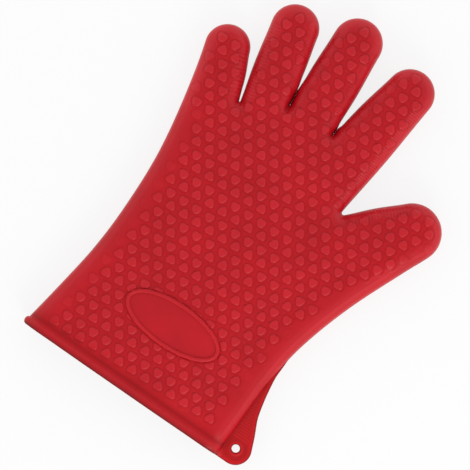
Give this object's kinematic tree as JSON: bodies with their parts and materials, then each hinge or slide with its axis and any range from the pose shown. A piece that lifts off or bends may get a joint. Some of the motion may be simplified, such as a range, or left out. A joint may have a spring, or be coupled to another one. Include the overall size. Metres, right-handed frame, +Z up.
{
  "type": "heat resistant glove",
  "caption": "Moulded silicone gauntlet glove with separate fingers, a long cuff with a beaded mouth, an oval panel ridge and a hanging tab.",
  "frame": {"origin": "middle of the glove's outline, at the level of the surface that the back of the hand lies on", "axes": "+Y from the cuff's mouth to the fingertips, +X across the hand towards the thumb, +Z up out of the palm"},
  "size_m": [0.1906, 0.273, 0.0238],
  "materials": {
    "palm_silicone": "satin",
    "finger_silicone": "satin",
    "cuff_silicone": "satin",
    "rim_silicone": "satin",
    "tab_silicone": "satin",
    "ridge_silicone": "satin"
  },
  "bodies": {
    "palm": {"palm_shell": "palm_silicone"},
    "cuff": {"cuff_sleeve": "cuff_silicone", "cuff_rim": "rim_silicone", "hang_tab": "tab_silicone", "panel_ridge": "ridge_silicone"},
    "little_finger_base": {"little_finger_base": "finger_silicone"},
    "little_finger_middle": {"little_finger_middle": "finger_silicone"},
    "little_finger_tip": {"little_finger_tip": "finger_silicone"},
    "ring_finger_base": {"ring_finger_base": "finger_silicone"},
    "ring_finger_middle": {"ring_finger_middle": "finger_silicone"},
    "ring_finger_tip": {"ring_finger_tip": "finger_silicone"},
    "middle_finger_base": {"middle_finger_base": "finger_silicone"},
    "middle_finger_middle": {"middle_finger_middle": "finger_silicone"},
    "middle_finger_tip": {"middle_finger_tip": "finger_silicone"},
    "index_finger_base": {"index_finger_base": "finger_silicone"},
    "index_finger_middle": {"index_finger_middle": "finger_silicone"},
    "index_finger_tip": {"index_finger_tip": "finger_silicone"},
    "thumb_base": {"thumb_base": "finger_silicone"},
    "thumb_tip": {"thumb_tip": "finger_silicone"}
  },
  "joints": [
    {"name": "wrist_bend", "type": "hinge", "parent": "palm", "child": "cuff", "pos_m": [-0.01429, -0.06254, 0.0225], "axis": [-1, 0, 0], "range_deg": [0, 45], "stiffness_Nm_per_rad": 0.3},
    {"name": "little_finger_base_bend", "type": "hinge", "parent": "palm", "child": "little_finger_base", "pos_m": [-0.07059, 0.04936, 0.02], "axis": [0.9171, 0.3987, 0], "range_deg": [0, 45], "stiffness_Nm_per_rad": 0.05},
    {"name": "little_finger_middle_bend", "type": "hinge", "parent": "little_finger_base", "child": "little_finger_middle", "pos_m": [-0.0759, 0.06158, 0.02], "axis": [0.9171, 0.3987, 0], "range_deg": [0, 55], "stiffness_Nm_per_rad": 0.03},
    {"name": "little_finger_tip_bend", "type": "hinge", "parent": "little_finger_middle", "child": "little_finger_tip", "pos_m": [-0.08109, 0.07351, 0.02], "axis": [0.9171, 0.3987, 0], "range_deg": [0, 37], "stiffness_Nm_per_rad": 0.02},
    {"name": "ring_finger_base_bend", "type": "hinge", "parent": "palm", "child": "ring_finger_base", "pos_m": [-0.04495, 0.06622, 0.02], "axis": [0.9781, 0.2079, 0], "range_deg": [0, 45], "stiffness_Nm_per_rad": 0.05},
    {"name": "ring_finger_middle_bend", "type": "hinge", "parent": "ring_finger_base", "child": "ring_finger_middle", "pos_m": [-0.04878, 0.08427, 0.02], "axis": [0.9781, 0.2079, 0], "range_deg": [0, 55], "stiffness_Nm_per_rad": 0.03},
    {"name": "ring_finger_tip_bend", "type": "hinge", "parent": "ring_finger_middle", "child": "ring_finger_tip", "pos_m": [-0.05253, 0.10187, 0.02], "axis": [0.9781, 0.2079, 0], "range_deg": [0, 37], "stiffness_Nm_per_rad": 0.02},
    {"name": "middle_finger_base_bend", "type": "hinge", "parent": "palm", "child": "middle_finger_base", "pos_m": [-0.01359, 0.07043, 0.02], "axis": [0.9981, 0.061, 0], "range_deg": [0, 45], "stiffness_Nm_per_rad": 0.05},
    {"name": "middle_finger_middle_bend", "type": "hinge", "parent": "middle_finger_base", "child": "middle_finger_middle", "pos_m": [-0.01491, 0.09212, 0.02], "axis": [0.9981, 0.061, 0], "range_deg": [0, 55], "stiffness_Nm_per_rad": 0.03},
    {"name": "middle_finger_tip_bend", "type": "hinge", "parent": "middle_finger_middle", "child": "middle_finger_tip", "pos_m": [-0.01623, 0.11358, 0.02], "axis": [0.9981, 0.061, 0], "range_deg": [0, 37], "stiffness_Nm_per_rad": 0.02},
    {"name": "index_finger_base_bend", "type": "hinge", "parent": "palm", "child": "index_finger_base", "pos_m": [0.02047, 0.06746, 0.02], "axis": [0.989, -0.1478, 0], "range_deg": [0, 45], "stiffness_Nm_per_rad": 0.05},
    {"name": "index_finger_middle_bend", "type": "hinge", "parent": "index_finger_base", "child": "index_finger_middle", "pos_m": [0.02345, 0.08746, 0.02], "axis": [0.989, -0.1478, 0], "range_deg": [0, 55], "stiffness_Nm_per_rad": 0.03},
    {"name": "index_finger_tip_bend", "type": "hinge", "parent": "index_finger_middle", "child": "index_finger_tip", "pos_m": [0.02641, 0.10724, 0.02], "axis": [0.989, -0.1478, 0], "range_deg": [0, 37], "stiffness_Nm_per_rad": 0.02},
    {"name": "thumb_base_bend", "type": "hinge", "parent": "palm", "child": "thumb_base", "pos_m": [0.0603, 0.01895, 0.02031], "axis": [0.8339, -0.5519, 0], "range_deg": [0, 40], "stiffness_Nm_per_rad": 0.05},
    {"name": "thumb_tip_bend", "type": "hinge", "parent": "thumb_base", "child": "thumb_tip", "pos_m": [0.07309, 0.03828, 0.02007], "axis": [0.8339, -0.5519, 0], "range_deg": [0, 50], "stiffness_Nm_per_rad": 0.02}
  ],
  "couplings": [
    {"joint": "little_finger_tip_bend", "follows": "little_finger_middle_bend", "ratio": 0.6667},
    {"joint": "ring_finger_tip_bend", "follows": "ring_finger_middle_bend", "ratio": 0.6667},
    {"joint": "middle_finger_tip_bend", "follows": "middle_finger_middle_bend", "ratio": 0.6667},
    {"joint": "index_finger_tip_bend", "follows": "index_finger_middle_bend", "ratio": 0.6667}
  ]
}
